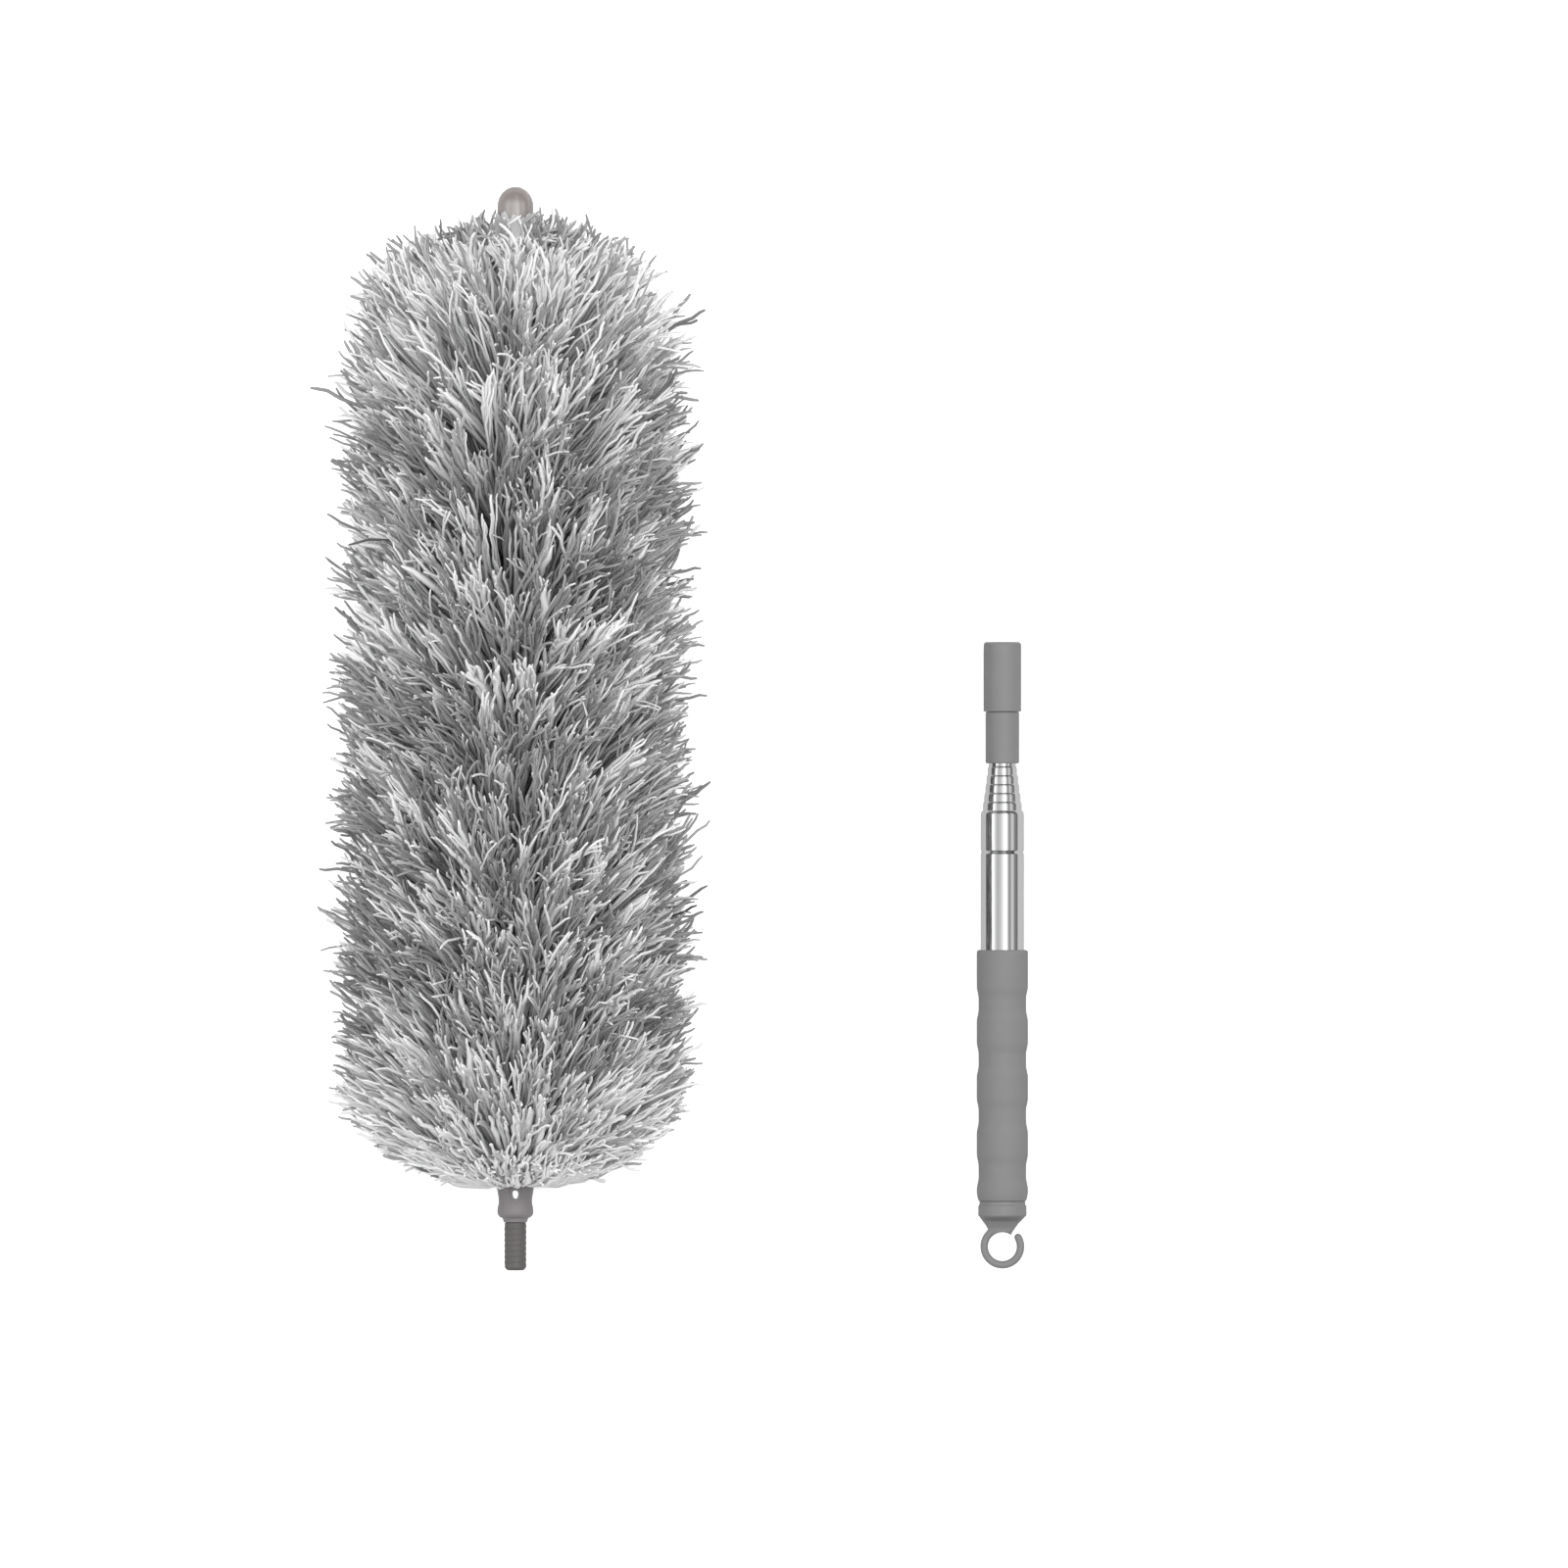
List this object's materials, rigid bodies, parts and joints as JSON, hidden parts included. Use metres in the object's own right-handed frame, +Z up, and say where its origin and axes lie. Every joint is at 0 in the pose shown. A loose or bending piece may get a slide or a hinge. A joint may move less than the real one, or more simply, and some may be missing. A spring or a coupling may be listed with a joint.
{
  "type": "extendable feather duster",
  "caption": "Fluffy microfibre duster head with bendable core and threaded stud, beside a telescopic steel pole with threaded socket, waisted grip and C hook.",
  "frame": {"origin": "centre of the footprint of both pieces on the surface that they lie on", "axes": "+Y along both pieces, from the stud and the hook towards the cap and the socket; +X from the head to the pole; +Z up from the surface"},
  "size_m": [0.3106, 0.4866, 0.144],
  "materials": {
    "microfibre_yarn": "matte",
    "twisted_wire": "satin",
    "stud_plastic": "satin",
    "head_plastic": "satin",
    "translucent_cap": "gloss",
    "pole_plastic": "matte",
    "grip_rubber": "matte",
    "polished_steel": "polished",
    "sleeve_nylon": "satin"
  },
  "bodies": {
    "head_base": {"threaded_stud": "stud_plastic", "ferrule": "head_plastic", "core_wire_base": "twisted_wire", "yarn_base": "microfibre_yarn"},
    "head_mid": {"core_wire_mid": "twisted_wire", "yarn_mid": "microfibre_yarn"},
    "head_tip": {"core_wire_tip": "twisted_wire", "yarn_tip": "microfibre_yarn", "tip_cap": "translucent_cap"},
    "handle": {"end_cap": "pole_plastic", "grip_sleeve": "grip_rubber", "outer_tube": "polished_steel", "outer_collar": "polished_steel"},
    "section_1": {"section_tube_1": "polished_steel", "friction_sleeve_1": "sleeve_nylon"},
    "section_2": {"section_tube_2": "polished_steel", "friction_sleeve_2": "sleeve_nylon"},
    "section_3": {"section_tube_3": "polished_steel", "friction_sleeve_3": "sleeve_nylon"},
    "section_4": {"section_tube_4": "polished_steel", "friction_sleeve_4": "sleeve_nylon"},
    "section_5": {"section_tube_5": "polished_steel", "friction_sleeve_5": "sleeve_nylon"},
    "section_6": {"section_tube_6": "polished_steel", "friction_sleeve_6": "sleeve_nylon", "adapter_neck": "pole_plastic", "threaded_socket": "pole_plastic"}
  },
  "joints": [
    {"name": "head_bend_lower", "type": "hinge", "parent": "head_base", "child": "head_mid", "pos_m": [-0.07527, -0.0591, 0.064], "axis": [0, 0, 1], "range_deg": [-15, 45], "deforming": ["yarn_base", "yarn_mid"]},
    {"name": "head_bend_upper", "type": "hinge", "parent": "head_mid", "child": "head_tip", "pos_m": [-0.07527, 0.0876, 0.064], "axis": [0, 0, 1], "range_deg": [-15, 45], "deforming": ["yarn_tip"]},
    {"name": "handle_lift", "type": "slide", "parent": "head_base", "child": "handle", "axis": [0, 0, 1], "range_m": [0, 0.25]},
    {"name": "section_slide_1", "type": "slide", "parent": "handle", "child": "section_1", "axis": [0, 1, 0], "range_m": [0, 0.127]},
    {"name": "section_slide_2", "type": "slide", "parent": "section_1", "child": "section_2", "axis": [0, 1, 0], "range_m": [0, 0.151]},
    {"name": "section_slide_3", "type": "slide", "parent": "section_2", "child": "section_3", "axis": [0, 1, 0], "range_m": [0, 0.151]},
    {"name": "section_slide_4", "type": "slide", "parent": "section_3", "child": "section_4", "axis": [0, 1, 0], "range_m": [0, 0.151]},
    {"name": "section_slide_5", "type": "slide", "parent": "section_4", "child": "section_5", "axis": [0, 1, 0], "range_m": [0, 0.151]},
    {"name": "section_slide_6", "type": "slide", "parent": "section_5", "child": "section_6", "axis": [0, 1, 0], "range_m": [0, 0.151]}
  ]
}
